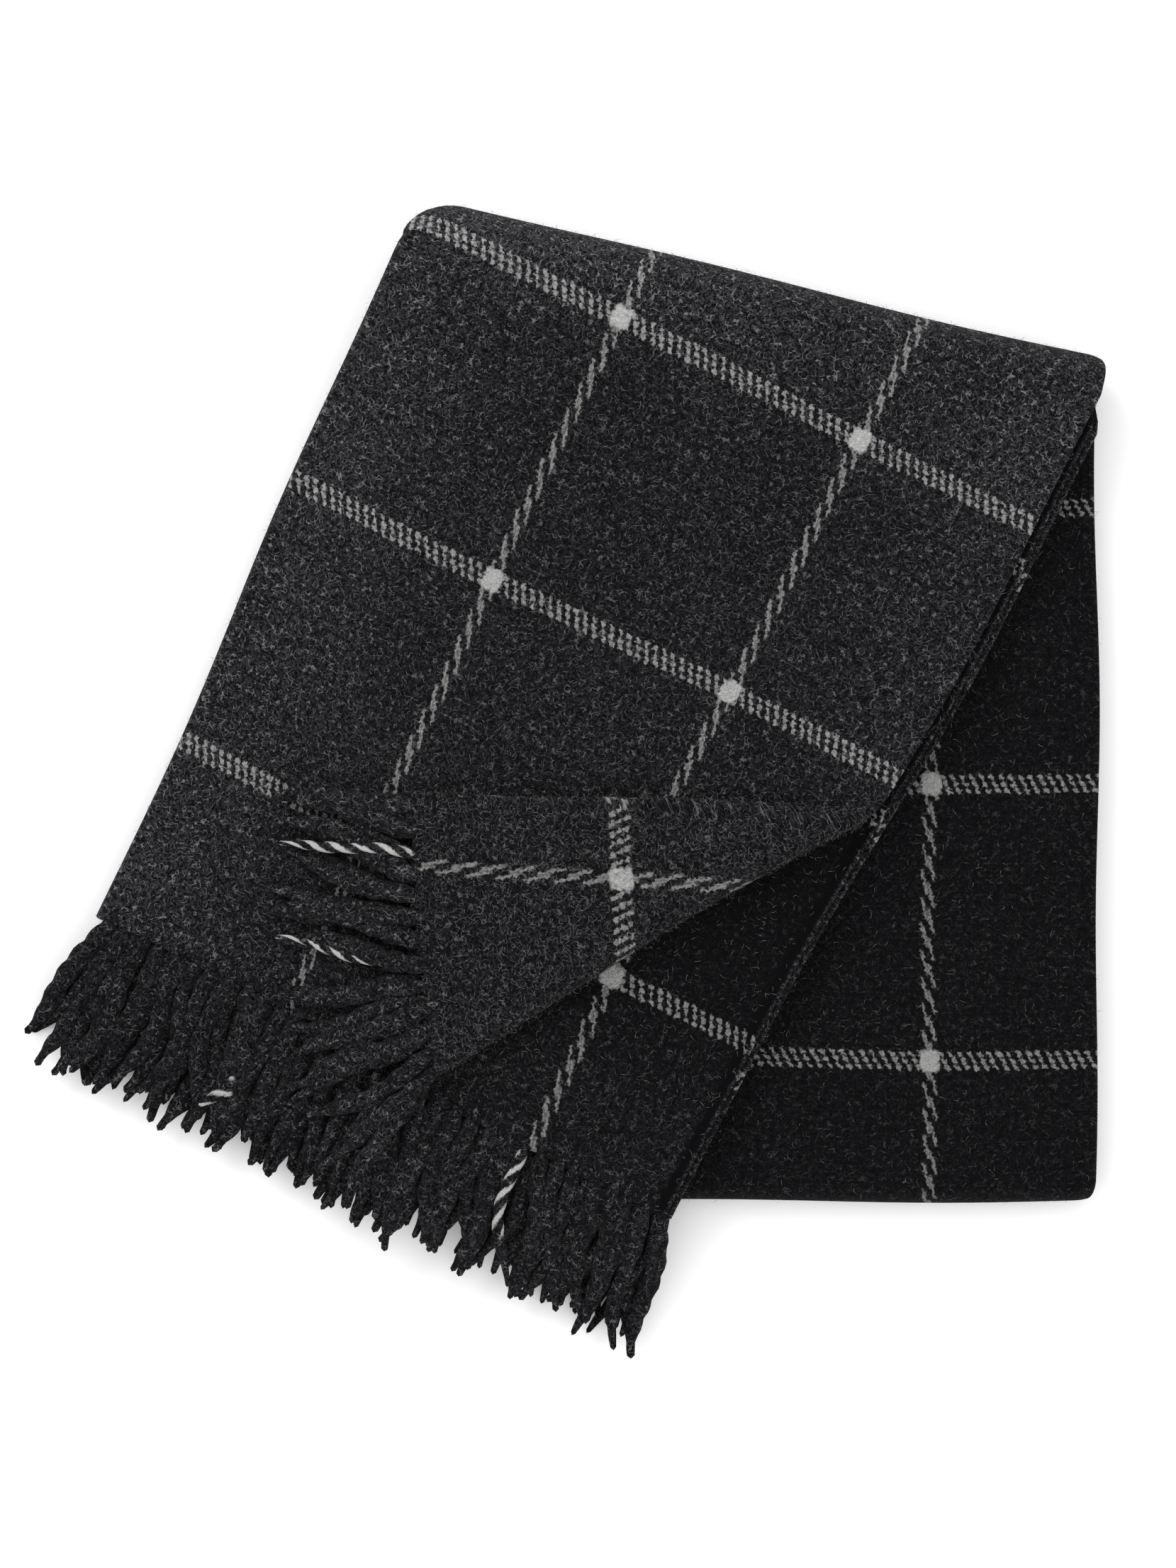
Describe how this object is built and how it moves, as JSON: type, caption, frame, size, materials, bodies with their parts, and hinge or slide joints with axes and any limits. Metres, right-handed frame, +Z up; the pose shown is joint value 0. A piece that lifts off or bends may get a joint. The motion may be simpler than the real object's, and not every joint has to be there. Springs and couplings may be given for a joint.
{
  "type": "folded throw blanket",
  "caption": "Woven wool throw with a windowpane check, folded into a stack and turned over on the skew, with a twisted fringe and one top corner folded back.",
  "frame": {"origin": "middle of the lower half's underside, on the surface that the throw lies on", "axes": "+Z up from the surface; +Y along the lower half, from its bottom fold to the skew fold at the top; +X across it, to its right-hand fold"},
  "size_m": [0.5125, 0.5423, 0.0461],
  "materials": {
    "throw_cloth": "matte",
    "fringe_yarn": "matte"
  },
  "bodies": {
    "throw": {"bottom_fold_1": "throw_cloth", "bottom_fold_2": "throw_cloth", "bottom_fold_3": "throw_cloth", "bottom_fold_4": "throw_cloth", "crease_fold_1": "throw_cloth", "crease_fold_2": "throw_cloth", "fringe_1": "fringe_yarn", "fringe_2": "fringe_yarn", "fringe_3": "fringe_yarn", "fringe_4": "fringe_yarn", "fringe_5": "fringe_yarn", "fringe_6": "fringe_yarn", "fringe_7": "fringe_yarn", "fringe_8": "fringe_yarn", "lower_inner_left_fold_1": "throw_cloth", "lower_inner_left_fold_2": "throw_cloth", "lower_leaf_1": "throw_cloth", "lower_leaf_2": "throw_cloth", "lower_leaf_3": "throw_cloth", "lower_leaf_4": "throw_cloth", "lower_leaf_5": "throw_cloth", "lower_leaf_6": "throw_cloth", "lower_leaf_7": "throw_cloth", "lower_leaf_8": "throw_cloth", "lower_outer_left_fold_1": "throw_cloth", "lower_outer_left_fold_2": "throw_cloth", "lower_right_fold_1": "throw_cloth", "lower_right_fold_2": "throw_cloth", "top_fold_1": "throw_cloth", "top_fold_2": "throw_cloth", "top_fold_3": "throw_cloth", "top_fold_4": "throw_cloth", "top_fold_5": "throw_cloth", "top_fold_6": "throw_cloth", "top_fold_7": "throw_cloth", "top_fold_8": "throw_cloth", "upper_inner_left_fold_1": "throw_cloth", "upper_inner_left_fold_2": "throw_cloth", "upper_leaf_1": "throw_cloth", "upper_leaf_2": "throw_cloth", "upper_leaf_3": "throw_cloth", "upper_leaf_4": "throw_cloth", "upper_leaf_5": "throw_cloth", "upper_leaf_6": "throw_cloth", "upper_leaf_7": "throw_cloth", "upper_leaf_8": "throw_cloth", "upper_outer_left_fold_1": "throw_cloth", "upper_outer_left_fold_2": "throw_cloth", "upper_right_fold_1": "throw_cloth", "upper_right_fold_2": "throw_cloth"},
    "turned_corner": {"corner_leaf_1": "throw_cloth", "corner_leaf_2": "throw_cloth", "corner_edge_fold": "throw_cloth", "corner_fringe_1": "fringe_yarn", "corner_fringe_2": "fringe_yarn"}
  },
  "joints": [
    {"name": "corner_crease", "type": "hinge", "parent": "throw", "child": "turned_corner", "pos_m": [0.07184, -0.01048, 0.0402], "axis": [0.8563, 0.5165, 0], "range_deg": [0, 170], "deforming": ["crease_fold_1", "crease_fold_2"]}
  ]
}
